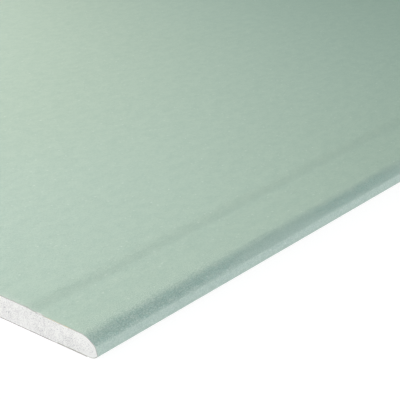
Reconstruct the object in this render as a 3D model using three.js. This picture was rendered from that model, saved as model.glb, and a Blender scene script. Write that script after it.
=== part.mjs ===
// A full sheet of moisture-resistant plasterboard, lying face up.
//
// The sheet is three pieces pressed into one panel on the forming line:
//   gypsum_core   the set plaster, cast between the two papers
//   face_paper    the wide green liner. It covers the face, turns round both long edges and is folded
//                 back under the sheet as two flaps
//   back_paper    the narrower grey liner. It covers the back and laps over the two flaps
//
// The long edges are half-round and tapered. Going outwards over the face, a ramp sinks the surface,
// a gentle run-out follows, and a rounded shoulder falls to a crease in the paper. Below the crease a
// narrow land stands almost upright, and a second round returns to the back. The short ends are cut
// square through core and papers.
//
// Frame: millimetres, +X along the sheet, +Y across it, +Z up. The origin is at the middle of the back.
import * as THREE from "three";

// The whole sheet
const SHEET_LENGTH = 2500;
const SHEET_WIDTH = 1200;
const SHEET_THICKNESS = 12.5;

// The papers
const FACE_PAPER_THICKNESS = 0.35;
const BACK_PAPER_THICKNESS = 0.35;
const FLAP_LENGTH = 26; // how far the folded flap reaches in from the long edge
const BACK_PAPER_MARGIN = 7; // bare flap between the long edge and the back paper

// The taper, measured inwards from the long edge
const TAPER_WIDTH = 49; // edge to the top of the ramp
const RAMP_WIDTH = 14;
const RAMP_DROP = 0.85;
const RUN_OUT_DROP = 0.3; // from the foot of the ramp to the shoulder

// The half-round edge
const SHOULDER_WIDTH = 10.5; // from the long edge to where the shoulder starts
const SHOULDER_FALL = 42; // slope at the crease, in degrees below level
const CREASE_HEIGHT = 7.1; // above the back
const LAND_LEAN = 1.1; // how far the crease lies inside the foot of the land
const LAND_FOOT_HEIGHT = 3.4; // above the back
const UNDER_ROUND_WIDTH = 5.6; // from the long edge to where the lower round meets the flap

// How finely the curves are stepped
const SHOULDER_STEPS = 14;
const UNDER_ROUND_STEPS = 12;
const RAMP_STEPS = 10;

// Colours and finishes
const FACE_PAPER_COLOUR = 0xbacec1;
const GYPSUM_COLOUR = 0xe8e8e6;
const BACK_PAPER_COLOUR = 0x9c958a;
const PAPER_ROUGHNESS = 0.85;
const GYPSUM_ROUGHNESS = 0.95;

// Points on the shoulder, a parabola that leaves the run-out level and reaches the crease at its fall.
function shoulderCurve(start, crease, steps) {
  const fall = Math.tan(THREE.MathUtils.degToRad(SHOULDER_FALL));
  const corner = new THREE.Vector2(crease.x + (start.y - crease.y) / fall, start.y);
  return new THREE.QuadraticBezierCurve(start, corner, crease).getPoints(steps);
}

// Points on the lower round, a quarter of an ellipse from the foot of the land to the flat flap.
function underRoundCurve(landFoot, flapStart, steps) {
  const width = flapStart.x - landFoot.x;
  const height = landFoot.y - flapStart.y;
  const quarter = new THREE.EllipseCurve(
    flapStart.x, landFoot.y, width, height, Math.PI, 1.5 * Math.PI, false,
  );
  return quarter.getPoints(steps);
}

// Points on the ramp, an S-curve that leaves and meets the two flats level.
function rampCurve(foot, head, steps) {
  const middle = (foot.x + head.x) / 2;
  const curve = new THREE.CubicBezierCurve(
    foot, new THREE.Vector2(middle, foot.y), new THREE.Vector2(middle, head.y), head,
  );
  return curve.getPoints(steps);
}

// The outer skin of one long edge, from the end of the flap round to the top of the ramp.
// x is the distance in from the long edge and y the height above the back.
function edgeSkin() {
  const flapHeight = BACK_PAPER_THICKNESS; // the back paper lies under the flap
  const rampFootHeight = SHEET_THICKNESS - RAMP_DROP;
  const flapEnd = new THREE.Vector2(FLAP_LENGTH, flapHeight);
  const flapStart = new THREE.Vector2(UNDER_ROUND_WIDTH, flapHeight);
  const landFoot = new THREE.Vector2(0, LAND_FOOT_HEIGHT);
  const crease = new THREE.Vector2(LAND_LEAN, CREASE_HEIGHT);
  const shoulder = new THREE.Vector2(SHOULDER_WIDTH, rampFootHeight - RUN_OUT_DROP);
  const rampFoot = new THREE.Vector2(TAPER_WIDTH - RAMP_WIDTH, rampFootHeight);
  const rampHead = new THREE.Vector2(TAPER_WIDTH, SHEET_THICKNESS);
  return [
    flapEnd,
    ...underRoundCurve(landFoot, flapStart, UNDER_ROUND_STEPS).reverse(),
    ...shoulderCurve(shoulder, crease, SHOULDER_STEPS).reverse(),
    ...rampCurve(rampFoot, rampHead, RAMP_STEPS),
  ];
}

// The same line moved to its right-hand side, into the sheet, by one thickness. At both its ends the
// skin runs on level towards the middle of the sheet.
function inset(line, thickness) {
  const inwards = new THREE.Vector2(1, 0);
  return line.map((point, i) => {
    const before = line[i - 1] ?? point.clone().add(inwards);
    const after = line[i + 1] ?? point.clone().add(inwards);
    const arriving = point.clone().sub(before).normalize();
    const leaving = after.clone().sub(point).normalize();
    const along = arriving.clone().add(leaving).normalize();
    const normal = new THREE.Vector2(along.y, -along.x);
    return point.clone().addScaledVector(normal, thickness / arriving.dot(along));
  });
}

// Both long edges of a line drawn for one: the near edge at -Y, then its mirror at +Y.
function acrossSheet(edgeLine) {
  const near = edgeLine.map((p) => new THREE.Vector2(p.x - SHEET_WIDTH / 2, p.y));
  const far = near.map((p) => new THREE.Vector2(-p.x, p.y)).reverse();
  return [...near, ...far];
}

const skinOutside = acrossSheet(edgeSkin());
const skinInside = acrossSheet(inset(edgeSkin(), FACE_PAPER_THICKNESS));

// One closed section, drawn in Y and Z, run along the sheet.
function sheetPiece(name, outline, material) {
  const geometry = new THREE.ExtrudeGeometry(new THREE.Shape(outline), {
    depth: SHEET_LENGTH,
    bevelEnabled: false,
  });
  const mesh = new THREE.Mesh(geometry, material);
  mesh.name = name;
  return mesh;
}

// The core fills the folded face paper. Under each flap it has a rebate one paper deep, so that the
// back paper can lie flat over core and flaps.
function gypsumCore() {
  const rebateEnd = SHEET_WIDTH / 2 - FLAP_LENGTH;
  const outline = [
    ...skinInside,
    new THREE.Vector2(rebateEnd, BACK_PAPER_THICKNESS),
    new THREE.Vector2(-rebateEnd, BACK_PAPER_THICKNESS),
  ];
  const material = new THREE.MeshStandardMaterial({
    color: GYPSUM_COLOUR, roughness: GYPSUM_ROUGHNESS, metalness: 0,
  });
  return sheetPiece("gypsum_core", outline, material);
}

function facePaper() {
  const outline = [...skinOutside, ...[...skinInside].reverse()];
  const material = new THREE.MeshStandardMaterial({
    color: FACE_PAPER_COLOUR, roughness: PAPER_ROUGHNESS, metalness: 0,
  });
  return sheetPiece("face_paper", outline, material);
}

function backPaper() {
  const side = SHEET_WIDTH / 2 - BACK_PAPER_MARGIN;
  const outline = [
    new THREE.Vector2(-side, 0),
    new THREE.Vector2(side, 0),
    new THREE.Vector2(side, BACK_PAPER_THICKNESS),
    new THREE.Vector2(-side, BACK_PAPER_THICKNESS),
  ];
  const material = new THREE.MeshStandardMaterial({
    color: BACK_PAPER_COLOUR, roughness: PAPER_ROUGHNESS, metalness: 0,
  });
  return sheetPiece("back_paper", outline, material);
}

// The pieces are drawn with their section in X and Y and their length along Z. The quarter-valued
// quaternion turns X to Y, Y to Z and Z to X exactly.
const sheet = new THREE.Group();
sheet.name = "plasterboard_sheet";
sheet.add(gypsumCore(), facePaper(), backPaper());
sheet.quaternion.set(0.5, 0.5, 0.5, 0.5);
sheet.position.x = -SHEET_LENGTH / 2;

export default sheet;
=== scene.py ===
# %% [markdown]
# # A sheet of moisture-resistant plasterboard
#
# Plasterboard is a sandwich. Wet plaster is poured on a wide web of paper, the paper is folded up round
# both long edges and back over the plaster, and a second, narrower paper closes the back. The CAD model
# already has these three pieces at their real size. This lesson gives each of them the surface it has on
# the real sheet: a fibrous green liner, a chalky sawn core and a grey liner of recycled paper.

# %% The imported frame
from math import radians

import bmesh
import bpy
from mathutils import Matrix, Vector, kdtree, noise


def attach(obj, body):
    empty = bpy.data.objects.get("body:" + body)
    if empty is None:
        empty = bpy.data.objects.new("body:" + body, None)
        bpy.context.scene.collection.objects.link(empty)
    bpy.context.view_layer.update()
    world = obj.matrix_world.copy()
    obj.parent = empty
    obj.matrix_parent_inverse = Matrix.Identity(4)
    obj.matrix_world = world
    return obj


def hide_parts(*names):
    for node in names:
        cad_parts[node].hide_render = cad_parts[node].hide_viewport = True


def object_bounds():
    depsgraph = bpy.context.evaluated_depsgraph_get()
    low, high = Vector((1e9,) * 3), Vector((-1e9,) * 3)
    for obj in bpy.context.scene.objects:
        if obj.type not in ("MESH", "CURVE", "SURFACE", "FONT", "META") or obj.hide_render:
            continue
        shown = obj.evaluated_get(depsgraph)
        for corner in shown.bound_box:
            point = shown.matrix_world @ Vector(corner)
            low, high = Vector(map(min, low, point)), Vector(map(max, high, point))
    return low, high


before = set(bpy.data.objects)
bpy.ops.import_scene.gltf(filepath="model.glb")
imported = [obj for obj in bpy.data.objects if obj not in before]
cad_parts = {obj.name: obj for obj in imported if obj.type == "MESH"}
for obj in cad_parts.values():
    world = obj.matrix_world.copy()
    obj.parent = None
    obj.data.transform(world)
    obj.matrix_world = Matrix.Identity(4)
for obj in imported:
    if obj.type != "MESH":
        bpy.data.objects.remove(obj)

cad_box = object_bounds()
MM = 0.001
ALONG = Vector((1, 0, 0))
ACROSS = Vector((0, 1, 0))
UPWARDS = Vector((0, 0, 1))
sheet_low, sheet_high = (Vector(corner) for corner in cad_box)
print("the sheet measures", [round(side / MM, 2) for side in sheet_high - sheet_low], "mm")

# %% [markdown]
# ## The camera
#
# The camera looks down on one corner of the sheet from about half a metre away. A long lens keeps the two
# straight edges almost parallel, so the thin section of the board shows without being stretched. The
# camera comes first, because every later choice of scale depends on how large a millimetre looks: here a
# millimetre at the corner is a little over two pixels.

# %% The camera
CAMERA_PLACE = (-1.5847, -0.9337, 0.2852)
CAMERA_HEADING = radians(39.29)  # from +X towards +Y
CAMERA_DIP = radians(23.56)  # below level
CAMERA_LENS = 108.27  # mm
SENSOR_WIDTH = 36  # mm
NEAREST_SEEN, FARTHEST_SEEN = 10 * MM, 50

corner_camera = bpy.data.cameras.new("corner_camera")
corner_camera.sensor_width = SENSOR_WIDTH
corner_camera.lens = CAMERA_LENS
corner_camera.clip_start, corner_camera.clip_end = NEAREST_SEEN, FARTHEST_SEEN
camera_object = bpy.data.objects.new("corner_camera", corner_camera)
camera_object.location = CAMERA_PLACE
camera_object.rotation_euler = (radians(90) - CAMERA_DIP, 0, CAMERA_HEADING - radians(90))
bpy.context.collection.objects.link(camera_object)
bpy.context.scene.camera = camera_object
bpy.context.scene.view_settings.view_transform = "Standard"
print("camera", round((Vector(CAMERA_PLACE) - sheet_low).length / MM), "mm from the corner")

# %% [markdown]
# ## The white of the floor and the room
#
# The sheet lies on a plain white floor in a white room. Two things are asked of that white: the camera
# should see it as clean white, and the sheet should still leave a soft shadow where it meets it. More
# lamp power would bleach the sheet as well. So the white is made for camera rays alone: the floor's
# material shows them mostly a plain white glow, and a little of a shaded surface. That surface is lifted
# until its lit parts reach white, and only the shade close under the sheet's edge stays. Every other ray
# meets an ordinary matt floor, which throws light back on the sheet's upright edges. Mirror and glass
# rays are sent the same way as the camera's, so that a glossy thing would reflect the same white room.

# %% Shader node helpers
def set_inputs(tree, node, inputs):
    """Gives each named or numbered input a value, or a link from another node."""
    for socket, value in inputs.items():
        if isinstance(value, bpy.types.NodeSocket):
            tree.links.new(value, node.inputs[socket])
        else:
            node.inputs[socket].default_value = value


def add_node(tree, kind, inputs=None, **settings):
    """Adds a node, sets its properties and then its inputs."""
    made = tree.nodes.new(kind)
    for setting, value in settings.items():
        setattr(made, setting, value)
    set_inputs(tree, made, inputs or {})
    return made


def maths(tree, operation, first, second=0.0, third=0.0, clamp=False):
    """The result of one Math node."""
    made = add_node(tree, "ShaderNodeMath", {0: first, 1: second, 2: third},
                    operation=operation, use_clamp=clamp)
    return made.outputs[0]


print("helpers for nodes: set_inputs, add_node, maths")

# %% Helpers for materials
def new_material(name):
    """An empty material and its node tree."""
    material = bpy.data.materials.new(name)
    material.use_nodes = True
    material.node_tree.nodes.clear()
    return material, material.node_tree


def seen_by_eye_or_mirror(tree):
    """1 for camera, glossy and transmission rays, which show the background, and 0 for the others."""
    path = add_node(tree, "ShaderNodeLightPath").outputs
    either = maths(tree, "MAXIMUM", path["Is Camera Ray"], path["Is Glossy Ray"])
    return maths(tree, "MAXIMUM", either, path["Is Transmission Ray"])


print("helpers for materials: new_material, seen_by_eye_or_mirror")

# %% The white floor's material
FLOOR_WHITE = (0.86, 0.86, 0.86, 1)
FLOOR_LIFTED = (2.3, 2.3, 2.3, 1)  # above 1, because the lamps pass low over the floor
CLEAN_WHITE = (1, 1, 1, 1)
FLOOR_CLEAN = 0.94  # share of plain white in what the camera sees

floor_white, tree = new_material("floor_white")
matt = add_node(tree, "ShaderNodeBsdfDiffuse", {"Color": FLOOR_WHITE}).outputs[0]
lifted = add_node(tree, "ShaderNodeBsdfDiffuse", {"Color": FLOOR_LIFTED}).outputs[0]
clean = add_node(tree, "ShaderNodeEmission", {"Color": CLEAN_WHITE, "Strength": 1.0}).outputs[0]
seen = add_node(tree, "ShaderNodeMixShader", {0: FLOOR_CLEAN, 1: lifted, 2: clean}).outputs[0]
shown = add_node(tree, "ShaderNodeMixShader", {0: seen_by_eye_or_mirror(tree), 1: matt, 2: seen}).outputs[0]
add_node(tree, "ShaderNodeOutputMaterial", {"Surface": shown})
print("floor_white:", len(tree.nodes), "nodes")

# %% The white floor
FLOOR_SIDE = 30  # m
FLOOR_DROP = 0.1 * MM

floor_shape = bmesh.new()
bmesh.ops.create_grid(floor_shape, x_segments=1, y_segments=1, size=FLOOR_SIDE / 2)
bmesh.ops.translate(floor_shape, verts=floor_shape.verts, vec=(0, 0, -FLOOR_DROP))
floor_mesh = bpy.data.meshes.new("studio_floor")
floor_shape.to_mesh(floor_mesh)
floor_shape.free()
floor_mesh.materials.append(floor_white)
studio_floor = bpy.data.objects.new("studio_floor", floor_mesh)
bpy.context.collection.objects.link(studio_floor)
print("floor", FLOOR_SIDE, "m square,", FLOOR_DROP / MM, "mm below the sheet")

# %% [markdown]
# ## The room light
#
# A white room gives a little light from everywhere, which keeps the shadows open. Its tint is chosen with
# the lamps' tints, so that together they light the near corner in neutral white. As with the floor, the
# eye and a mirror are shown plain white instead.

# %% The room light
ROOM_COLOUR = (0.70, 1.30, 1.05, 1)
ROOM_STRENGTH = 0.13

room = bpy.data.worlds.new("white_room")
bpy.context.scene.world = room
room.use_nodes = True
tree = room.node_tree
tree.nodes.clear()
white_view = add_node(tree, "ShaderNodeBackground", {"Color": CLEAN_WHITE, "Strength": 1.0}).outputs[0]
soft_fill = add_node(tree, "ShaderNodeBackground",
                     {"Color": ROOM_COLOUR, "Strength": ROOM_STRENGTH}).outputs[0]
shown = add_node(tree, "ShaderNodeMixShader",
                 {0: seen_by_eye_or_mirror(tree), 1: soft_fill, 2: white_view}).outputs[0]
add_node(tree, "ShaderNodeOutputWorld", {"Surface": shown})
print("room light", ROOM_STRENGTH)

# %% [markdown]
# ## The panel lights
#
# The sheet is lit softly from all round. Most of the light is low, as it is when a board is inspected for
# flatness. A long strip in front lights the narrow upright land below the crease, which stands out light
# against the shoulder. The left panel lights the sawn end, the far panel the face, and the right panel
# the end that is turned away. One bright even room would be simpler, but it wraps round the edge and
# hides its shape.

# %% The panel lights
def add_lamp(lamp, place, turn):
    """Puts a lamp in the scene, out of the camera's sight."""
    lamp_object = bpy.data.objects.new(lamp.name, lamp)
    lamp_object.location = place
    lamp_object.rotation_euler = turn.to_euler()
    lamp_object.visible_camera = False
    bpy.context.collection.objects.link(lamp_object)
    print(lamp.name, round(lamp.energy, 1), "W")


def panel_light(name, place, aim, sides, along, watts, colour=(1, 1, 1)):
    """A rectangular area lamp turned towards `aim`, with its second side lying along `along`."""
    lamp = bpy.data.lights.new(name, "AREA")
    lamp.shape = "RECTANGLE"
    lamp.size, lamp.size_y = sides
    lamp.energy = watts
    lamp.color = colour
    backwards = (Vector(place) - Vector(aim)).normalized()
    lengthwise = (along - backwards * backwards.dot(along)).normalized()
    sideways = lengthwise.cross(backwards)
    add_lamp(lamp, place, Matrix((sideways, lengthwise, backwards)).transposed())


panel_light("left_panel", place=(-2.36, -0.24, 0.61), aim=(-1.25, -0.22, 0), sides=(0.4, 1.2),
            along=ACROSS, watts=14.9, colour=(1.03, 0.95, 1.03))
panel_light("front_strip", place=(0.0, -3.5, 0.1), aim=(0.0, -0.6, 0), sides=(0.3, 3.0),
            along=ALONG, watts=86, colour=(1.06, 0.92, 1.08))
panel_light("right_panel", place=(3.0, 0.2, 0.8), aim=(1.25, 0, 0), sides=(0.8, 1.2),
            along=ACROSS, watts=24.5)
panel_light("far_panel", place=(0.87, 3.0, 1.5), aim=(0.2, 0, 0), sides=(2.0, 2.0),
            along=ALONG, watts=65, colour=(1.03, 1.0, 0.97))

# %% [markdown]
# ## The raking spot
#
# A soft-edged spot from the far side rakes over the near corner. The face grows darker away from the
# middle of its beam, and the ramp of the taper shows as a faint band. The rounded shoulder of the edge
# turns its back on the beam and is the darkest part. A sun lamp would rake the whole sheet alike, and
# leave the face flat.

# %% The raking spot
SPOT_PLACE = (0.81, 3.05, 1.82)
SPOT_AIM = (-1.20, -0.20, 0)
SPOT_WATTS = 706
SPOT_COLOUR = (1.10, 0.97, 0.93)
SPOT_CONE = radians(14.9)
SPOT_RADIUS = 0.25  # m; a large source keeps the shadows soft

spot = bpy.data.lights.new("raking_spot", "SPOT")
spot.energy = SPOT_WATTS
spot.color = SPOT_COLOUR
spot.spot_size = SPOT_CONE
spot.spot_blend = 1.0
spot.shadow_soft_size = SPOT_RADIUS
add_lamp(spot, SPOT_PLACE, (Vector(SPOT_AIM) - Vector(SPOT_PLACE)).to_track_quat("-Z", "Y"))

# %% [markdown]
# ## Effects that the materials share
#
# An effect that two materials share is built once, as a node group with its own inputs, and each material
# places it with its own amounts. The patterns could be painted on images, but noise read at the object's
# own coordinates needs no file, has no seam on the folded edge and stays sharp at any distance.

# %% Helpers for patterns
MM_IN_A_METRE = 1000
NOISE_ROUGHNESS = 0.55
NOISE_MIDDLE = 0.5
NOISE_RANGE = (0.3, 0.7)  # nearly all of a noise's values lie between these


def times(tree, first, second):
    """Two values multiplied."""
    return maths(tree, "MULTIPLY", first, second)


def remap(tree, value, low, high, to_low=0.0, to_high=1.0):
    """Value moved smoothly from low..high to to_low..to_high."""
    made = add_node(tree, "ShaderNodeMapRange", {"Value": value, "From Min": low, "From Max": high,
                                                 "To Min": to_low, "To Max": to_high},
                    interpolation_type="SMOOTHSTEP")
    return made.outputs["Result"]


def stretched_noise(tree, place, sizes_mm, turn=0.0, detail=2.0, shift=(0, 0, 0)):
    """Noise whose blobs measure sizes_mm along X, Y and Z, turned by `turn` about Z."""
    turned = add_node(tree, "ShaderNodeMapping", {"Vector": place, "Rotation": (0, 0, turn)})
    scaled = add_node(tree, "ShaderNodeMapping",
                      {"Vector": turned.outputs[0], "Location": shift,
                       "Scale": tuple(MM_IN_A_METRE / size for size in sizes_mm)})
    made = add_node(tree, "ShaderNodeTexNoise", {"Vector": scaled.outputs[0], "Scale": 1.0,
                                                 "Detail": detail, "Roughness": NOISE_ROUGHNESS})
    return made.outputs["Fac"]


print("helpers for patterns: times, remap, stretched_noise")

# %% Helpers for node groups
def new_group(name, inputs, outputs):
    """A shader node group. An input without a starting value is a place, and every output is a number."""
    group = bpy.data.node_groups.new(name, "ShaderNodeTree")
    for socket, start in inputs.items():
        kind = "NodeSocketVector" if start is None else "NodeSocketFloat"
        made = group.interface.new_socket(socket, in_out="INPUT", socket_type=kind)
        if start is not None:
            made.default_value = start
    for socket in outputs:
        group.interface.new_socket(socket, in_out="OUTPUT", socket_type="NodeSocketFloat")
    entry = group.nodes.new("NodeGroupInput")
    way_out = group.nodes.new("NodeGroupOutput")
    return group, entry.outputs, way_out


def placed_group(tree, group, inputs):
    """Places a node group in a material or in another group, and gives its outputs."""
    made = tree.nodes.new("ShaderNodeGroup")
    made.node_tree = group
    set_inputs(tree, made, inputs)
    return made.outputs


print("helpers for node groups: new_group, placed_group")

# %% [markdown]
# ## Scattered spots
#
# The knots of fibre on the paper and the bubbles in the plaster are both uneven spots of many sizes, thrown
# about at random. Voronoi cells give one spot a cell. Left alone they make neat round dots, so the place
# is jogged by noise first, and each cell draws lots for the size of its spot, or for none at all.

# %% A node group of scattered spots
JOG_SCALE = 2.5  # how much finer than the cells the jogging noise is
JOG_REACH = (0.5, 0.5, 0.5)  # in cells

scattered_spots, entry, way_out = new_group(
    "scattered_spots",
    {"Place": None, "Spacing": 1.0, "Stretch": 1.0, "Share": 0.5, "Radius": 0.5, "Softness": 0.1},
    ["Spot"])
tree = scattered_spots
per_metre = maths(tree, "DIVIDE", 1.0, entry["Spacing"])
per_metre_along = maths(tree, "DIVIDE", per_metre, entry["Stretch"])
scale = add_node(tree, "ShaderNodeCombineXYZ", {0: per_metre_along, 1: per_metre, 2: per_metre})
cells = add_node(tree, "ShaderNodeVectorMath", {0: entry["Place"], 1: scale.outputs[0]},
                 operation="MULTIPLY").outputs[0]
jog = add_node(tree, "ShaderNodeTexNoise", {"Vector": cells, "Scale": JOG_SCALE, "Detail": 1.0})
uneven = add_node(tree, "ShaderNodeVectorMath", {0: jog.outputs["Color"], 1: JOG_REACH, 2: cells},
                  operation="MULTIPLY_ADD").outputs[0]
spots = add_node(tree, "ShaderNodeTexVoronoi", {"Vector": uneven, "Scale": 1.0}).outputs
lot = add_node(tree, "ShaderNodeSeparateColor", {0: spots["Color"]}).outputs[0]
largest = maths(tree, "DIVIDE", entry["Radius"], entry["Spacing"])
size = remap(tree, lot, maths(tree, "SUBTRACT", 1.0, entry["Share"]), 1.0, 0.0, largest)
inside = maths(tree, "SUBTRACT", size, spots["Distance"])
set_inputs(tree, way_out, {"Spot": maths(tree, "DIVIDE", inside, entry["Softness"], clamp=True)})
print("scattered_spots group:", len(tree.nodes), "nodes")

# %% [markdown]
# ## Paper fibres
#
# Both liners are made from pulped waste paper, so both show the same things at different strengths: a
# cloudy unevenness a few millimetres across, a fine tooth, short fibres that mostly lie along the web,
# small knots of fibre, and a nap that rises where the paper is rubbed. A fibre is drawn where stretched
# noise crosses its middle value, which makes long thin wandering lines. They lie in three directions and
# fade in and out in patches.

# %% Fibre strands
FIBRE_SIZES = (5.0, 0.8, 0.8)  # mm
FIBRE_TURNS = (radians(14), radians(-23), radians(68))
FIBRE_WIDTH = 0.022  # in the noise's own values
PATCH_SIZES = (4, 3, 3)  # mm
PATCH_RANGE = (0.45, 0.65)


def fibre_strands(tree, place):
    """Thin wandering lines in a few directions, in patches."""
    strands = 0.0
    for index, turn in enumerate(FIBRE_TURNS):
        wander = stretched_noise(tree, place, FIBRE_SIZES, turn=turn, detail=1.0,
                                 shift=(11 * index, 5, 2))
        ridge = maths(tree, "ABSOLUTE", maths(tree, "SUBTRACT", wander, NOISE_MIDDLE))
        strands = maths(tree, "MAXIMUM", strands, remap(tree, ridge, 0.0, FIBRE_WIDTH, 1.0, 0.0))
    patches = remap(tree, stretched_noise(tree, place, PATCH_SIZES, shift=(2, 9, 4)), *PATCH_RANGE)
    return times(tree, strands, patches)


print("fibres lie in", len(FIBRE_TURNS), "directions")

# %% A node group of paper fibres
HEIGHT_SHARES = {"Tooth": 0.7, "Fibre": 0.45, "Knot": 1.2, "Nap": 0.4}
KNOTS = {"Spacing": 2.5 * MM, "Stretch": 1.4, "Share": 0.6, "Radius": 0.7 * MM, "Softness": 0.25}

liner_fibres, entry, way_out = new_group(
    "liner_fibres", {"Place": None, "Cloud Share": 0.5},
    ["Cloud", "Tooth", "Fibre", "Knot", "Nap", "Mottle", "Height"])
tree = liner_fibres
place = entry["Place"]
found = {
    "Cloud": stretched_noise(tree, place, (9, 6, 6), detail=3.0),
    "Tooth": stretched_noise(tree, place, (1.5, 1.1, 1.1), detail=3.0, shift=(7, 3, 1)),
    "Fibre": fibre_strands(tree, place),
    "Knot": placed_group(tree, scattered_spots, {"Place": place, **KNOTS})["Spot"],
    "Nap": stretched_noise(tree, place, (0.7, 0.6, 0.6), detail=1.0, shift=(13, 1, 6)),
}
tooth_share = maths(tree, "SUBTRACT", 1.0, entry["Cloud Share"])
found["Mottle"] = maths(tree, "ADD", times(tree, found["Cloud"], entry["Cloud Share"]),
                        times(tree, found["Tooth"], tooth_share))
height = 0.0
for layer, share in HEIGHT_SHARES.items():
    height = maths(tree, "MULTIPLY_ADD", found[layer], share, height)
set_inputs(tree, way_out, {**found, "Height": height})
print("liner_fibres group:", len(tree.nodes), "nodes")

# %% [markdown]
# ## Where a point lies on the sheet
#
# Much of what happened to the sheet happened at its edges: it was sawn at the ends, and folded, pressed
# and handled along its sides. So the effects and the materials ask how far in from the nearer sawn end a
# point lies, how far in from the nearer long edge, and how high above the back.

# %% A node group for the place on the sheet
place_on_sheet, entry, way_out = new_group(
    "place_on_sheet", {"Place": None, "Half Length": 1.0, "Half Width": 1.0},
    ["From Cut", "From Edge", "Level"])
tree = place_on_sheet
split = add_node(tree, "ShaderNodeSeparateXYZ", {0: entry["Place"]}).outputs
from_cut = maths(tree, "SUBTRACT", entry["Half Length"], maths(tree, "ABSOLUTE", split["X"]))
from_edge = maths(tree, "SUBTRACT", entry["Half Width"], maths(tree, "ABSOLUTE", split["Y"]))
set_inputs(tree, way_out, {"From Cut": from_cut, "From Edge": from_edge, "Level": split["Z"]})
print("place_on_sheet group:", len(tree.nodes), "nodes")

# %% [markdown]
# ## Plaster dust
#
# A saw powders both liners with plaster close to the cut. The dust is thick at the cut and gone a few
# millimetres away. It settles in specks, so fine noise decides where it lies.

# %% A node group of plaster dust
DUST_REACH = 8.0 * MM
DUST_SIZES = (1.2, 1.2, 1.2)  # mm
DUST_CROWDING = 0.28  # how much thicker the dust lies at the cut, in the noise's own values
DUST_RANGE = (0.55, 0.85)

plaster_dust, entry, way_out = new_group("plaster_dust", {"Place": None, "From Cut": 1.0}, ["Dust"])
tree = plaster_dust
near_cut = remap(tree, entry["From Cut"], 0.0, DUST_REACH, 1.0, 0.0)
specks = stretched_noise(tree, entry["Place"], DUST_SIZES, detail=4.0, shift=(4, 4, 4))
settled = remap(tree, maths(tree, "MULTIPLY_ADD", near_cut, DUST_CROWDING, specks), *DUST_RANGE)
set_inputs(tree, way_out, {"Dust": times(tree, settled, near_cut)})
print("plaster_dust group:", len(tree.nodes), "nodes")

# %% [markdown]
# ## The green face liner
#
# The face liner is dyed pale green through its top ply. Its two greens are close together and follow the
# mottle of the pulp, and over half a metre or so the dye drifts a little towards yellow and back. Paler
# fibres lie in it, and a knot of fibre takes the dye badly and stays almost white. A plain flat green
# would look like plastic, and a strong pattern would look like stone.

# %% The dyed top ply
GREEN_LIGHT = (0.481, 0.625, 0.535, 1)
GREEN_DEEP = (0.433, 0.581, 0.501, 1)
GREEN_FIBRE = (0.536, 0.649, 0.559, 1)
GREEN_KNOT = (0.66, 0.76, 0.68, 1)
MOTTLE_RANGE = (0.34, 0.66)
FIBRE_SHARE, KNOT_SHARE = 0.35, 0.8
DRIFT_TINT = (0.958, 0.958, 0.926, 1)
DRIFT_SIZES = (600, 600, 600)  # mm
DRIFT_RANGE = (0.35, 0.65)
HALF_SIZES = {"Half Length": sheet_high.x, "Half Width": sheet_high.y}


def mixed(tree, share, first, second, blend="MIX"):
    """One colour mixed into another, or multiplied by it with blend MULTIPLY."""
    made = add_node(tree, "ShaderNodeMix", {0: share, 6: first, 7: second},
                    data_type="RGBA", blend_type=blend)
    return made.outputs[2]


green_liner, tree = new_material("green_liner")
place = add_node(tree, "ShaderNodeTexCoord").outputs["Object"]
on_sheet = placed_group(tree, place_on_sheet, {"Place": place, **HALF_SIZES})
from_cut, from_edge, level = on_sheet["From Cut"], on_sheet["From Edge"], on_sheet["Level"]
fibres = placed_group(tree, liner_fibres, {"Place": place, "Cloud Share": 0.5})
dyed = mixed(tree, remap(tree, fibres["Mottle"], *MOTTLE_RANGE), GREEN_DEEP, GREEN_LIGHT)
drift = stretched_noise(tree, place, DRIFT_SIZES, detail=1.0, shift=(14, 4, 2))
dyed = mixed(tree, remap(tree, drift, *DRIFT_RANGE, 1.0, 0.0), dyed, DRIFT_TINT, blend="MULTIPLY")
dyed = mixed(tree, times(tree, fibres["Fibre"], FIBRE_SHARE), dyed, GREEN_FIBRE)
dyed = mixed(tree, times(tree, fibres["Knot"], KNOT_SHARE), dyed, GREEN_KNOT)
print("green_liner so far:", len(tree.nodes), "nodes")

# %% Dust on the face
DUST_WHITE = (0.80, 0.80, 0.78, 1)
DUSTY_FACE = (20 * MM, 55 * MM)  # the saw's dust slides off the taper and stays on the flat face
DUSTY_SHARES = (0.05, 0.2)

dust = placed_group(tree, plaster_dust, {"Place": place, "From Cut": from_cut})["Dust"]
dusty = times(tree, dust, remap(tree, from_edge, *DUSTY_FACE, *DUSTY_SHARES))
dyed = mixed(tree, dusty, dyed, DUST_WHITE)
print("dust reaches", DUST_REACH / MM, "mm in from the cut")

# %% [markdown]
# ## Wear and painted shade on the long edge
#
# Boards are carried by their long edges and slid past each other on them, which raises the paper's
# fibres along the shoulder. The rounded shoulder is painted darker, as painted shade, in a ragged band
# that ends at the crease, one stretch of it darker than the next and the darkest near the corners. The
# nap is painted too, as tiny dark and pale specks of painted shade and painted highlight that thin out
# towards the flat face and are strongest near the corners. The ramp of the taper is tinted a touch
# darker, as painted shade over the faint band that the raking light draws there. All of this is a
# matter of distance from the edge and from the cut, so it lies in the same places on the sheet from any
# side.

# %% The painted shade on the shoulder
SHOULDER_SHADE_TINT = (0.855, 0.94, 0.95, 1)
SHADED_SHOULDER_BAND = (0.8 * MM, 2.6 * MM, 5.0 * MM, 8.3 * MM)
SHADE_BAND_WANDER = 5 * MM
CREASE_LEVEL = (6.6 * MM, 7.6 * MM)
CORNER_REACH = (30 * MM, 170 * MM)  # the painted shade and painted nap are full up to the first, and mild beyond the second
SHOULDER_SHADE_SHARES = (1.2, 0.82)  # how dark the shoulder's painted shade is at a corner and beyond it
SHOULDER_TOOTH_RANGE = (0.35, 0.65)
STRETCH_SIZES = (90, 40, 40)  # mm; a stretch this long is painted darker than the next
STRETCH_RANGE, STRETCH_SHARES = (0.4, 0.6), (1.45, 0.5)


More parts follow.
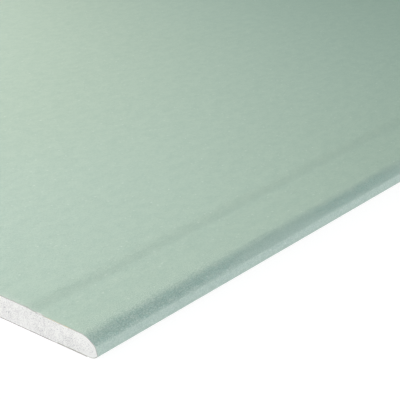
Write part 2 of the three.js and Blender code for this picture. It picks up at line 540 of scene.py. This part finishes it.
def band(tree, value, places):
    """1 between the two middle places, fading to 0 at the two outer ones."""
    start, full, still_full, end = places
    return times(tree, remap(tree, value, start, full), remap(tree, value, end, still_full))


wander = maths(tree, "SUBTRACT", fibres["Cloud"], NOISE_MIDDLE)
ragged = maths(tree, "MULTIPLY_ADD", wander, SHADE_BAND_WANDER, from_edge)
shaded_and_rubbed = times(tree, band(tree, ragged, SHADED_SHOULDER_BAND), remap(tree, level, *CREASE_LEVEL))
shade_at_corner = remap(tree, from_cut, *CORNER_REACH, *SHOULDER_SHADE_SHARES)
shaded_and_rubbed = times(tree, shaded_and_rubbed, remap(tree, fibres["Tooth"], *SHOULDER_TOOTH_RANGE, 0.0, shade_at_corner))
shade_stretches = stretched_noise(tree, place, STRETCH_SIZES, detail=1.0, shift=(7, 8, 3))
shaded_and_rubbed = times(tree, shaded_and_rubbed, remap(tree, shade_stretches, *STRETCH_RANGE, *STRETCH_SHARES))
# painted shade: the shoulder's band is darkened and tinted bluer, darkest near the corners and in stretches
dyed = mixed(tree, shaded_and_rubbed, dyed, SHOULDER_SHADE_TINT, blend="MULTIPLY")
print("rubbed from", SHADED_SHOULDER_BAND[0] / MM, "to", SHADED_SHOULDER_BAND[-1] / MM, "mm in from the edge")

# %% The ramp's painted shade
RAMP_SHADE_TINT = (0.976, 0.978, 0.970, 1)
SHADED_RAMP_BAND = (37 * MM, 43 * MM, 45 * MM, 51 * MM)

# painted shade: the ramp of the taper is tinted darker, deepening the band the raking light draws there
dyed = mixed(tree, band(tree, from_edge, SHADED_RAMP_BAND), dyed, RAMP_SHADE_TINT, blend="MULTIPLY")
print("pressed from", SHADED_RAMP_BAND[0] / MM, "to", SHADED_RAMP_BAND[-1] / MM, "mm in from the edge")

# %% The nap's painted shade and highlight
NAP_SHADE_TINT = (0.83, 0.87, 0.87, 1)
PAINTED_NAP_EDGE = (8 * MM, 24 * MM)  # the painted specks are full up to the first, and low beyond the second
NAP_ON_FACE = 0.36
NAP_ON_LAND = 0.6
NAP_MIDWAY = 0.3  # above the crease, beyond the corners' reach
NAP_SHADE_RANGE, NAP_HIGHLIGHT_RANGE = (0.52, 0.64), (0.48, 0.36)
NAP_HIGHLIGHT_SHARE = 0.5

above_crease = remap(tree, from_cut, *CORNER_REACH, 1.0, NAP_MIDWAY)
nap_share = remap(tree, level, *CREASE_LEVEL, NAP_ON_LAND, above_crease)
painted_nap = times(tree, remap(tree, from_edge, *PAINTED_NAP_EDGE, 1.0, NAP_ON_FACE), nap_share)
painted_nap_shade = remap(tree, fibres["Nap"], *NAP_SHADE_RANGE)
painted_nap_highlight = remap(tree, fibres["Nap"], *NAP_HIGHLIGHT_RANGE, 0.0, NAP_HIGHLIGHT_SHARE)
# painted shade and painted highlight: dark and pale specks laid on the liner's colour near the edge
dyed = mixed(tree, times(tree, painted_nap, painted_nap_shade), dyed, NAP_SHADE_TINT, blend="MULTIPLY")
dyed = mixed(tree, times(tree, painted_nap, painted_nap_highlight), dyed, GREEN_KNOT)
print("green_liner so far:", len(tree.nodes), "nodes")

# %% [markdown]
# ## The cut plies
#
# Under the dyed ply the liner is plain grey pulp, which shows where the saw went through, as a thin line
# between the green face and the white core. It isn't one grey. Over the thin part of the taper a brown
# ply frays out in dabs, low on the edge the dye has soaked in and darkens it, and plaster clings where
# a flake has torn away. A corner attribute named `ply` marks the cut faces, because a colour chosen by
# place alone would spill over the arris, and a point attribute named `bare` says where the flakes are.

# %% The cut plies
GREY_PLY = (0.45, 0.445, 0.41, 1)
SOAKED_PLY = (0.37, 0.39, 0.31, 1)
SOAKED_LEVEL = (0.8 * MM, 2.5 * MM)  # the dye has soaked into the plies below the first height
BROWN_PLY = (0.62, 0.55, 0.34, 1)
BROWN_BAND = (12 * MM, 20 * MM, 31 * MM, 36 * MM)
DAB_SIZES = (2, 2, 2)  # mm
DAB_RANGE, DAB_SHARES = (0.45, 0.56), (0.25, 1.2)
CLINGING_PLASTER = (0.84, 0.85, 0.81, 1)


def surface_mark(tree, name):
    """A mark that the mesh carries on its points or corners."""
    return add_node(tree, "ShaderNodeAttribute", attribute_name=name).outputs["Fac"]


above_soaked = remap(tree, level, *SOAKED_LEVEL)
cut_ply = mixed(tree, above_soaked, SOAKED_PLY, GREY_PLY)
dabs = remap(tree, stretched_noise(tree, place, DAB_SIZES, shift=(6, 2, 3)), *DAB_RANGE, *DAB_SHARES)
brown = times(tree, times(tree, band(tree, from_edge, BROWN_BAND), above_soaked), dabs)
cut_ply = mixed(tree, brown, cut_ply, BROWN_PLY)
cut_ply = mixed(tree, times(tree, surface_mark(tree, "bare"), above_soaked), cut_ply, CLINGING_PLASTER)
liner_colour = mixed(tree, surface_mark(tree, "ply"), dyed, cut_ply)
print("green_liner so far:", len(tree.nodes), "nodes")

# %% The green liner's shader
RUBBED_HEIGHT = 2.0  # how much higher the fibres stand in the shoulder's band
LINER_ROUGHNESS = (0.92, 0.8)

fuzz = times(tree, fibres["Height"], maths(tree, "MULTIPLY_ADD", shaded_and_rubbed, RUBBED_HEIGHT, 1.0))
liner_bump = add_node(tree, "ShaderNodeBump", {"Height": fuzz, "Strength": 0.5, "Distance": 0.2 * MM})
liner_rough = remap(tree, fibres["Tooth"], *NOISE_RANGE, *LINER_ROUGHNESS)
green_paper = add_node(tree, "ShaderNodeBsdfPrincipled",
                       {"Base Color": liner_colour, "Roughness": liner_rough,
                        "Normal": liner_bump.outputs[0], "Specular IOR Level": 0.25})
add_node(tree, "ShaderNodeOutputMaterial", {"Surface": green_paper.outputs[0]})
print("green_liner:", len(tree.nodes), "nodes")

# %% [markdown]
# ## The grey back liner
#
# The back is never seen on a finished wall, so its liner is undyed waste paper: grey-brown, cloudier than
# the face, with stronger fibres and stray dark flecks. Its cut edge is darkened, except near the long
# edges, where it laps over the flap of the face liner and plaster is smeared across both.

# %% The recycled pulp
GREY_LIGHT = (0.345, 0.320, 0.275, 1)
GREY_DEEP = (0.255, 0.232, 0.195, 1)
GREY_FIBRE = (0.48, 0.45, 0.39, 1)
FLECK_DARK = (0.12, 0.10, 0.09, 1)
PULP_RANGE = (0.35, 0.65)
PULP_FIBRE_SHARE = 0.6
FLECK_SIZES = (2.2, 0.9, 0.9)  # mm
FLECK_RANGE = (0.74, 0.79)  # near the top of the noise's values, so flecks are rare
FLECK_SHARE = 0.7

grey_liner, tree = new_material("grey_liner")
place = add_node(tree, "ShaderNodeTexCoord").outputs["Object"]
fibres = placed_group(tree, liner_fibres, {"Place": place, "Cloud Share": 0.6})
pulp = mixed(tree, remap(tree, fibres["Mottle"], *PULP_RANGE), GREY_DEEP, GREY_LIGHT)
pulp = mixed(tree, times(tree, fibres["Fibre"], PULP_FIBRE_SHARE), pulp, GREY_FIBRE)
waste = stretched_noise(tree, place, FLECK_SIZES, detail=1.0, shift=(3, 8, 5))
pulp = mixed(tree, times(tree, remap(tree, waste, *FLECK_RANGE), FLECK_SHARE), pulp, FLECK_DARK)
print("grey_liner so far:", len(tree.nodes), "nodes")

# %% The back's dust and darkened cut
LAP_EDGE = (24 * MM, 32 * MM)  # the cut is smeared up to the first, and darker beyond the second
SMEAR_SHARE = CUT_DARKENING_SHARE = 0.5
BACK_DUST_SHARE = 0.2

on_sheet = placed_group(tree, place_on_sheet, {"Place": place, **HALF_SIZES})
from_cut, from_edge = on_sheet["From Cut"], on_sheet["From Edge"]
dust = placed_group(tree, plaster_dust, {"Place": place, "From Cut": from_cut})["Dust"]
pulp = mixed(tree, times(tree, dust, BACK_DUST_SHARE), pulp, DUST_WHITE)
cut = surface_mark(tree, "ply")
smeared = times(tree, cut, remap(tree, from_edge, *LAP_EDGE, SMEAR_SHARE, 0.0))
darkened_cut = times(tree, cut, remap(tree, from_edge, *LAP_EDGE, 0.0, CUT_DARKENING_SHARE))
pulp = mixed(tree, smeared, pulp, DUST_WHITE)
# the cut edge is darkened towards FLECK_DARK beyond the lap
pulp = mixed(tree, darkened_cut, pulp, FLECK_DARK)
print("grey_liner so far:", len(tree.nodes), "nodes")

# %% The grey liner's shader
PULP_ROUGHNESS = (0.95, 0.85)

pulp_rough = remap(tree, fibres["Tooth"], *NOISE_RANGE, *PULP_ROUGHNESS)
pulp_bump = add_node(tree, "ShaderNodeBump", {"Height": fibres["Height"], "Strength": 0.5,
                                              "Distance": 0.10 * MM})
grey_paper = add_node(tree, "ShaderNodeBsdfPrincipled",
                      {"Base Color": pulp, "Roughness": pulp_rough, "Normal": pulp_bump.outputs[0],
                       "Specular IOR Level": 0.2})
add_node(tree, "ShaderNodeOutputMaterial", {"Surface": grey_paper.outputs[0]})
print("grey_liner:", len(tree.nodes), "nodes")

# %% [markdown]
# ## The sawn plaster
#
# Set plaster is white, dull and full of tiny air bubbles. The saw leaves a powdery surface, opens the
# bubbles as pores, whose hollows are painted grey as painted shade, and drags faint streaks through it.
# The pores gather in patches, and crowd where the taper thins the board. Along the rounded long edges the
# plaster is lighter, with a hard whiter rim and no bubbles just under the paper. The `skin_gap` attribute
# holds each point's distance from the paper, in millimetres, which lets that hard rim follow the round.

# %% The powdery plaster
PLASTER_LIGHT = (0.835, 0.845, 0.80, 1)
PLASTER_GREY = (0.64, 0.645, 0.62, 1)
PLASTER_HARD = (0.81, 0.82, 0.78, 1)
POWDER_SHARE, LUMP_SHARE, STREAK_SHARE = 0.62, 0.28, 0.10
SHADE_RANGE = (0.38, 0.58)
LIGHTER_NOSE = (10 * MM, 20 * MM)  # the plaster is whiter up to the first, and plain beyond the second
NOSE_LIFT = 0.045  # how much whiter
HARD_EDGE = (7 * MM, 14 * MM)  # the hard rim is full up to the first, and thin beyond the second
HARD_RIM = (0.5, 3.0)  # in millimetres from the paper, as `skin_gap` is
THIN_RIM_SHARE = 0.15

sawn_plaster, tree = new_material("sawn_plaster")
place = add_node(tree, "ShaderNodeTexCoord").outputs["Object"]
from_edge = placed_group(tree, place_on_sheet, {"Place": place, **HALF_SIZES})["From Edge"]
powder = stretched_noise(tree, place, (0.6, 0.6, 0.6), detail=1.5)
lumps = stretched_noise(tree, place, (4, 3.2, 4), detail=2.0, shift=(1, 2, 3))
streaks = stretched_noise(tree, place, (6, 0.9, 7), detail=2.0, shift=(5, 1, 8))
shade = remap(tree, from_edge, *LIGHTER_NOSE, NOSE_LIFT, 0.0)
for pattern, share in ((powder, POWDER_SHARE), (lumps, LUMP_SHARE), (streaks, STREAK_SHARE)):
    shade = maths(tree, "MULTIPLY_ADD", pattern, share, shade)
plaster = mixed(tree, remap(tree, shade, *SHADE_RANGE), PLASTER_GREY, PLASTER_LIGHT)
hard_rim = times(tree, remap(tree, surface_mark(tree, "skin_gap"), *HARD_RIM, 1.0, 0.0),
                 remap(tree, from_edge, *HARD_EDGE, 1.0, THIN_RIM_SHARE))
plaster = mixed(tree, hard_rim, plaster, PLASTER_HARD)
print("sawn_plaster so far:", len(tree.nodes), "nodes")

# %% The opened pores
PORE_SHADE = (0.36, 0.355, 0.38, 1)
PORE_SHARE = 0.62  # how much of the shade shows in a pore
GATHERING_SIZES = (16, 16, 16)  # mm
GATHERING_RANGE = (0.42, 0.58)
SPARSE_SHARE = 0.4  # how strong the pores are between the patches
CROWDED_TAPER = (38 * MM, 48 * MM)  # pores crowd up to the first, and lie in patches beyond the second
FINE_PORES = {"Spacing": 0.8 * MM, "Stretch": 1.0, "Share": 0.6, "Radius": 0.3 * MM, "Softness": 0.1}
LARGE_PORES = {"Spacing": 2.3 * MM, "Stretch": 1.0, "Share": 0.25, "Radius": 0.5 * MM, "Softness": 0.05}

pore = maths(tree, "MAXIMUM",
             placed_group(tree, scattered_spots, {"Place": place, **FINE_PORES})["Spot"],
             placed_group(tree, scattered_spots, {"Place": place, **LARGE_PORES})["Spot"])
pore = times(tree, pore, maths(tree, "SUBTRACT", 1.0, hard_rim))
gathering = stretched_noise(tree, place, GATHERING_SIZES, shift=(2, 7, 5))
patches = remap(tree, gathering, *GATHERING_RANGE, SPARSE_SHARE, 1.0)
crowded = maths(tree, "MAXIMUM", patches, remap(tree, from_edge, *CROWDED_TAPER, 1.0, 0.0))
pore = times(tree, pore, crowded)
# painted shade: the opened pores are darkened in colour
plaster = mixed(tree, times(tree, pore, PORE_SHARE), plaster, PORE_SHADE)
print("sawn_plaster so far:", len(tree.nodes), "nodes")

# %% The plaster's shader
POWDER_HEIGHT, PORE_DEPTH = 0.6, 0.8  # as shares of the bump's distance
CHALK_ROUGHNESS = (0.98, 0.9)

plaster_height = maths(tree, "SUBTRACT", times(tree, powder, POWDER_HEIGHT),
                       times(tree, pore, PORE_DEPTH))
plaster_rough = remap(tree, powder, *NOISE_RANGE, *CHALK_ROUGHNESS)
plaster_bump = add_node(tree, "ShaderNodeBump", {"Height": plaster_height, "Strength": 0.5,
                                                 "Distance": 0.15 * MM})
chalk = add_node(tree, "ShaderNodeBsdfPrincipled",
                 {"Base Color": plaster, "Roughness": plaster_rough,
                  "Normal": plaster_bump.outputs[0], "Specular IOR Level": 0.15})
add_node(tree, "ShaderNodeOutputMaterial", {"Surface": chalk.outputs[0]})
print("sawn_plaster:", len(tree.nodes), "nodes")

# %% [markdown]
# ## The plaster core
#
# The core's section is already right in the CAD model, with its taper and its rounded edges, so the piece
# starts from a copy of that solid. Its loose triangles are joined and its flat faces made whole. Then
# planes cut it square across at every corner of its section, which turns each sawn end into a row of
# four-sided columns. Columns like these subdivide into an even grid, fine enough to carry the saw's
# unevenness and the opened bubbles as real shape. A displacement modifier could do the same, but it
# would also lift the long sides off the paper.

# %% Helpers for copied solids
HAIR = 0.002 * MM  # corners closer than this are one corner
FLAT_ANGLE = radians(0.05)  # faces that meet at less than this are one flat side


def at_sawn_end(corner):
    """Whether a corner lies in one of the two sawn ends."""
    return abs(abs(corner.co.x) - sheet_high.x) < HAIR


def in_one_end(face):
    """Whether a whole face lies in one sawn end."""
    return len({v.co.x > 0 for v in face.verts}) == 1 and all(at_sawn_end(v) for v in face.verts)


def copied_solid(node):
    """A copy of a CAD solid with joined corners, whole flat sides and an undivided face at each end."""
    solid = bmesh.new()
    solid.from_mesh(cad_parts[node].data)
    bmesh.ops.remove_doubles(solid, verts=solid.verts, dist=HAIR)
    bmesh.ops.dissolve_limit(solid, verts=solid.verts, edges=solid.edges, angle_limit=FLAT_ANGLE)
    left_over = [e for e in solid.edges if all(in_one_end(f) for f in e.link_faces)]
    bmesh.ops.dissolve_edges(solid, edges=left_over)
    print("copied", node, "with", len(solid.verts), "corners and", len(solid.faces), "faces")
    return solid


def cut_across(solid, axis, places):
    """Cuts the whole solid by a plane square to `axis` at each place."""
    for spot in places:
        everything = solid.verts[:] + solid.edges[:] + solid.faces[:]
        bmesh.ops.bisect_plane(solid, geom=everything, dist=HAIR, plane_co=axis * spot, plane_no=axis)


print("the sawn ends are", round(sheet_high.x / MM, 2), "mm to either side of the middle")

# %% Helpers for the sawn ends
GRID_STEP = 0.6 * MM


def sawn_edges(solid):
    """The edges that lie in the two sawn ends."""
    return [e for e in solid.edges if at_sawn_end(e.verts[0]) and at_sawn_end(e.verts[1])
            and abs(e.verts[0].co.x - e.verts[1].co.x) < HAIR]


def divide_to(solid, edges, step):
    """Divides edges evenly into lengths of about `step`, measured across the sheet."""
    by_cuts = {}
    for edge in edges:
        width = abs(edge.verts[0].co.y - edge.verts[1].co.y)
        by_cuts.setdefault(round(width / step) - 1, []).append(edge)
    for cuts, group in sorted(by_cuts.items()):
        if cuts > 0:
            bmesh.ops.subdivide_edges(solid, edges=group, cuts=cuts, use_grid_fill=True)


def split_many_sided(solid):
    """Splits the faces with more than four corners while they are flat, so that none folds later."""
    many_sided = [f for f in solid.faces if len(f.verts) > 4]
    bmesh.ops.triangulate(solid, faces=many_sided, ngon_method="BEAUTY")
    print("split", len(many_sided), "faces with more than four corners")


print("the grid on a sawn end has a step of", GRID_STEP / MM, "mm")

# %% The core's even grid
core = copied_solid("gypsum_core")
corner_lines = sorted({round(v.co.y, 6) for v in core.verts})
flap_top = sorted({round(v.co.z, 6) for v in core.verts})[1]  # the lowest level is the core's back
cut_across(core, UPWARDS, [flap_top])
cut_across(core, ACROSS, corner_lines[1:-1])
upright = [e for e in sawn_edges(core) if abs(e.verts[0].co.y - e.verts[1].co.y) < HAIR
           and max(v.co.z for v in e.verts) > flap_top + HAIR]
core_height = max(v.co.z for v in core.verts) - flap_top
bmesh.ops.subdivide_edges(core, edges=upright, cuts=round(core_height / GRID_STEP) - 1,
                          use_grid_fill=True)
divide_to(core, sawn_edges(core), GRID_STEP)
split_many_sided(core)
print("core grid:", len(core.verts), "corners,", len(core.faces), "faces")

# %% [markdown]
# ## The sawn surface
#
# A hand saw leaves the end nearly flat. It swells by a tenth of a millimetre over some centimetres, has a
# fine grain, and is pitted where a bubble lay. Each grid point is moved inwards by these three depths,
# which come from noise at the point's own place. Close to the paper the cut stays flat, so that core and
# liner still meet in a clean line. Points only move inwards, because the sheet mustn't grow.

# %% How deep the saw went
SWELL_DEPTH, SWELL_SIZES = 0.10 * MM, (22, 9)  # sizes in mm, across the sheet and upwards
GRAIN_DEPTH, GRAIN_SIZES = 0.16 * MM, (1.1, 1.3)
PIT_DEPTH, PIT_SIZES = 0.8 * MM, (1.6, 1.6)
PIT_START = 0.42  # in the noise's own values, so pits are rare


def section_noise(y, z, sizes_mm, layer):
    """Noise from -1 to 1 at a place on the section. Each layer has its own pattern."""
    return noise.noise(Vector((y / MM / sizes_mm[0], z / MM / sizes_mm[1], layer)))


def sawn_depth(y, z):
    """How far the sawn surface lies behind the saw's plane."""
    swell = 0.5 + 0.5 * section_noise(y, z, SWELL_SIZES, layer=3.1)
    grain = 0.5 + 0.5 * section_noise(y, z, GRAIN_SIZES, layer=7.7)
    pit = max(0.0, section_noise(y, z, PIT_SIZES, layer=11.3) - PIT_START)
    return SWELL_DEPTH * swell + GRAIN_DEPTH * grain + PIT_DEPTH * pit


print("the saw's swell and grain are up to", round((SWELL_DEPTH + GRAIN_DEPTH) / MM, 2), "mm deep")

# %% The distance from the paper
def looks_along(face):
    """Whether a face looks along the sheet, as the sawn ends do, and not out of a side of it."""
    return abs(face.normal.x) > 0.5


gap_layer = core.verts.layers.float.new("skin_gap")
sawn = [v for v in core.verts if at_sawn_end(v)]
skin_line = [v for v in sawn if not all(looks_along(f) for f in v.link_faces)]
finder = kdtree.KDTree(len(skin_line))
for number, corner in enumerate(skin_line):
    finder.insert(corner.co, number)
finder.balance()
for corner in sawn:
    corner[gap_layer] = finder.find(corner.co)[2] / MM
print("farthest point from the paper:", round(max(v[gap_layer] for v in sawn), 2), "mm")

# %% The sawn surface
SKIN_HOLD = 0.9  # mm; within this of the paper the cut stays flat

deepest = 0.0
for corner in sawn:
    hold = min(1.0, corner[gap_layer] / SKIN_HOLD)
    depth = hold * sawn_depth(corner.co.y, corner.co.z)
    corner.co.x -= depth if corner.co.x > 0 else -depth
    deepest = max(deepest, depth)
print("sawn ends:", len(sawn), "points, deepest", round(deepest / MM, 2), "mm")

# %% [markdown]
# ## Turning a worked solid into a piece
#
# Each finished solid becomes a mesh object at the origin, with its place in its mesh, so that patterns on
# object coordinates stay where they are. It rides on the sheet's one body and stands for its CAD node.
# Faces are shaded smooth, and an edge whose faces meet at a clear angle is marked sharp, so the rounded
# shoulder looks round while the arrises stay crisp.

# %% Finishing a piece
SHARP_ANGLE = radians(28)


def finished_piece(solid, name, node, material):
    """Makes the solid a shown piece that stands for a CAD node."""
    bmesh.ops.recalc_face_normals(solid, faces=solid.faces)
    for face in solid.faces:
        face.smooth = True
    for edge in solid.edges:
        edge.smooth = len(edge.link_faces) == 2 and edge.calc_face_angle(0.0) < SHARP_ANGLE
    mesh = bpy.data.meshes.new(name)
    solid.to_mesh(mesh)
    solid.free()
    mesh.materials.append(material)
    piece = bpy.data.objects.new(name, mesh)
    bpy.context.collection.objects.link(piece)
    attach(piece, "root")
    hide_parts(node)
    mesh.calc_loop_triangles()
    print(name, "has", len(mesh.loop_triangles), "triangles")


finished_piece(core, "sawn_core", "gypsum_core", sawn_plaster)

# %% [markdown]
# ## The folded face liner
#
# The liner also starts from its CAD solid. The crease where the paper was scored and bent gets a small
# bevel, since paper never folds to a knife edge. Two planes cut it lengthwise just inside the tapers, so
# that the smooth shading of the ramp stops there and the wide face stays flat.

# %% The crease
CREASE_EASE = 0.3 * MM
CREASE_ANGLE = radians(30)  # the rounds beside the crease turn by less at each of their edges
MID_HEIGHT = 5 * MM  # the crease lies above it, and the flap's folds below
TAPER_HOLD = 53 * MM  # in from the long edges

liner = copied_solid("face_paper")
long_edges = [e for e in liner.edges if abs(e.verts[0].co.x - e.verts[1].co.x) > sheet_high.x]
creases = [e for e in long_edges if e.is_convex and e.verts[0].co.z > MID_HEIGHT
           and e.calc_face_angle(0.0) > CREASE_ANGLE]
bmesh.ops.bevel(liner, geom=creases, offset=CREASE_EASE, offset_type="OFFSET", affect="EDGES",
                segments=3, profile=0.5, material=-1)
cut_across(liner, ACROSS, (sheet_low.y + TAPER_HOLD, sheet_high.y - TAPER_HOLD))
print("creases bevelled:", len(creases))

# %% [markdown]
# ## The torn cut line
#
# A saw tears paper slightly. The cut line wanders by a fifth of a millimetre, the outer plies tear back
# farther than the inner ones, and here and there a flake of the liner, up to a millimetre deep, is gone
# and white plaster shows. The ends are divided finely first, and faces with many sides are split while
# they are still flat. Then each corner is drawn back by a depth read from noise along the cut, a fine one
# for the fray and a coarse one for the flakes. Tearing by hand would look better still, but noise gives
# the same line each time.

# %% How deep the paper tears
INNER_SHARE = 0.45  # the inner plies tear less than the outer ones
FRAY_SIZE, FLAKE_SIZE = 1.3, 6.0  # mm, along the cut
FRAY_LAYER, FLAKE_LAYER = 2.2, 8.8  # each layer of the noise has its own pattern
FLAKE_START = 0.25  # in the noise's own values, so flakes are rare


def torn_depth(y, seed, fray_depth, flake_depth):
    """How far the paper is torn back from the saw cut at one place across the sheet."""
    fray = 0.5 + 0.5 * noise.noise(Vector((y / MM / FRAY_SIZE, seed, FRAY_LAYER)))
    flake = max(0.0, noise.noise(Vector((y / MM / FLAKE_SIZE, seed, FLAKE_LAYER))) - FLAKE_START)
    return fray_depth * fray + flake_depth * flake


print("inner plies tear", round(100 * INNER_SHARE), "% as deep as the outer ones")

# %% Which side of the paper faces out
SHEET_HEART = (sheet_low.z + sheet_high.z) / 2
HEART_REACH = sheet_high.y - 10 * MM  # how far the heart's line reaches towards each long edge


def faces_out(corner):
    """Whether a corner of a liner lies on its outer side, away from the line at the sheet's heart."""
    nearest = max(-HEART_REACH, min(HEART_REACH, corner.co.y))
    outwards = corner.co - Vector((corner.co.x, nearest, SHEET_HEART))
    return any(f.normal.dot(outwards) > 0 for f in corner.link_faces if not looks_along(f))


print("the heart of the sheet is", round(SHEET_HEART / MM, 2), "mm up")

# %% Marking the cut plies
TEAR_STEP = 0.8 * MM


def ready_to_tear(solid):
    """Divides a liner's sawn ends finely, and marks their corners in the `ply` layer."""
    divide_to(solid, sawn_edges(solid), TEAR_STEP)
    split_many_sided(solid)
    solid.normal_update()
    ply_layer = solid.loops.layers.float.new("ply")
    cut_plies = [f for f in solid.faces if looks_along(f)]
    for face in cut_plies:
        for loop in face.loops:
            loop[ply_layer] = 1.0
    print("cut plies:", len(cut_plies), "faces")


ready_to_tear(liner)

# %% Tearing the ends
CLING_START, CLING_FULL = 0.4 * MM, 0.65 * MM  # plaster clings where a tear is this deep


def tear_ends(solid, seed, fray_depth, flake_depth):
    """Pulls a liner back from the saw cut, and marks its bare flakes in the `bare` layer."""
    bare_layer = solid.verts.layers.float.new("bare")
    sawn_corners = [(v, faces_out(v)) for v in solid.verts if at_sawn_end(v)]
    for corner, outer in sawn_corners:
        side = 1 if corner.co.x > 0 else -1
        depth = torn_depth(corner.co.y, seed + side, fray_depth, flake_depth)
        corner.co.x -= side * depth * (1.0 if outer else INNER_SHARE)
        corner[bare_layer] = max(0.0, min(1.0, (depth - CLING_START) / (CLING_FULL - CLING_START)))
    print("torn cut line:", len(sawn_corners), "points")


tear_ends(liner, seed=158.25, fray_depth=0.2 * MM, flake_depth=1.9 * MM)
finished_piece(liner, "folded_face_liner", "face_paper", green_liner)

# %% [markdown]
# ## The back liner
#
# The back liner is a flat strip, glued over the two flaps. Its long edges were slit from a roll, so they
# are straight, but its ends were sawn with the rest of the sheet. It lies against the bench while it is
# sawn, so it hardly frays and loses no flakes.

# %% The back liner
backing = copied_solid("back_paper")
ready_to_tear(backing)
tear_ends(backing, seed=9, fray_depth=0.05 * MM, flake_depth=0.0)
finished_piece(backing, "grey_back_liner", "back_paper", grey_liner)

# %% [markdown]
# ## The size
#
# The finish mustn't make the sheet larger than its CAD model.
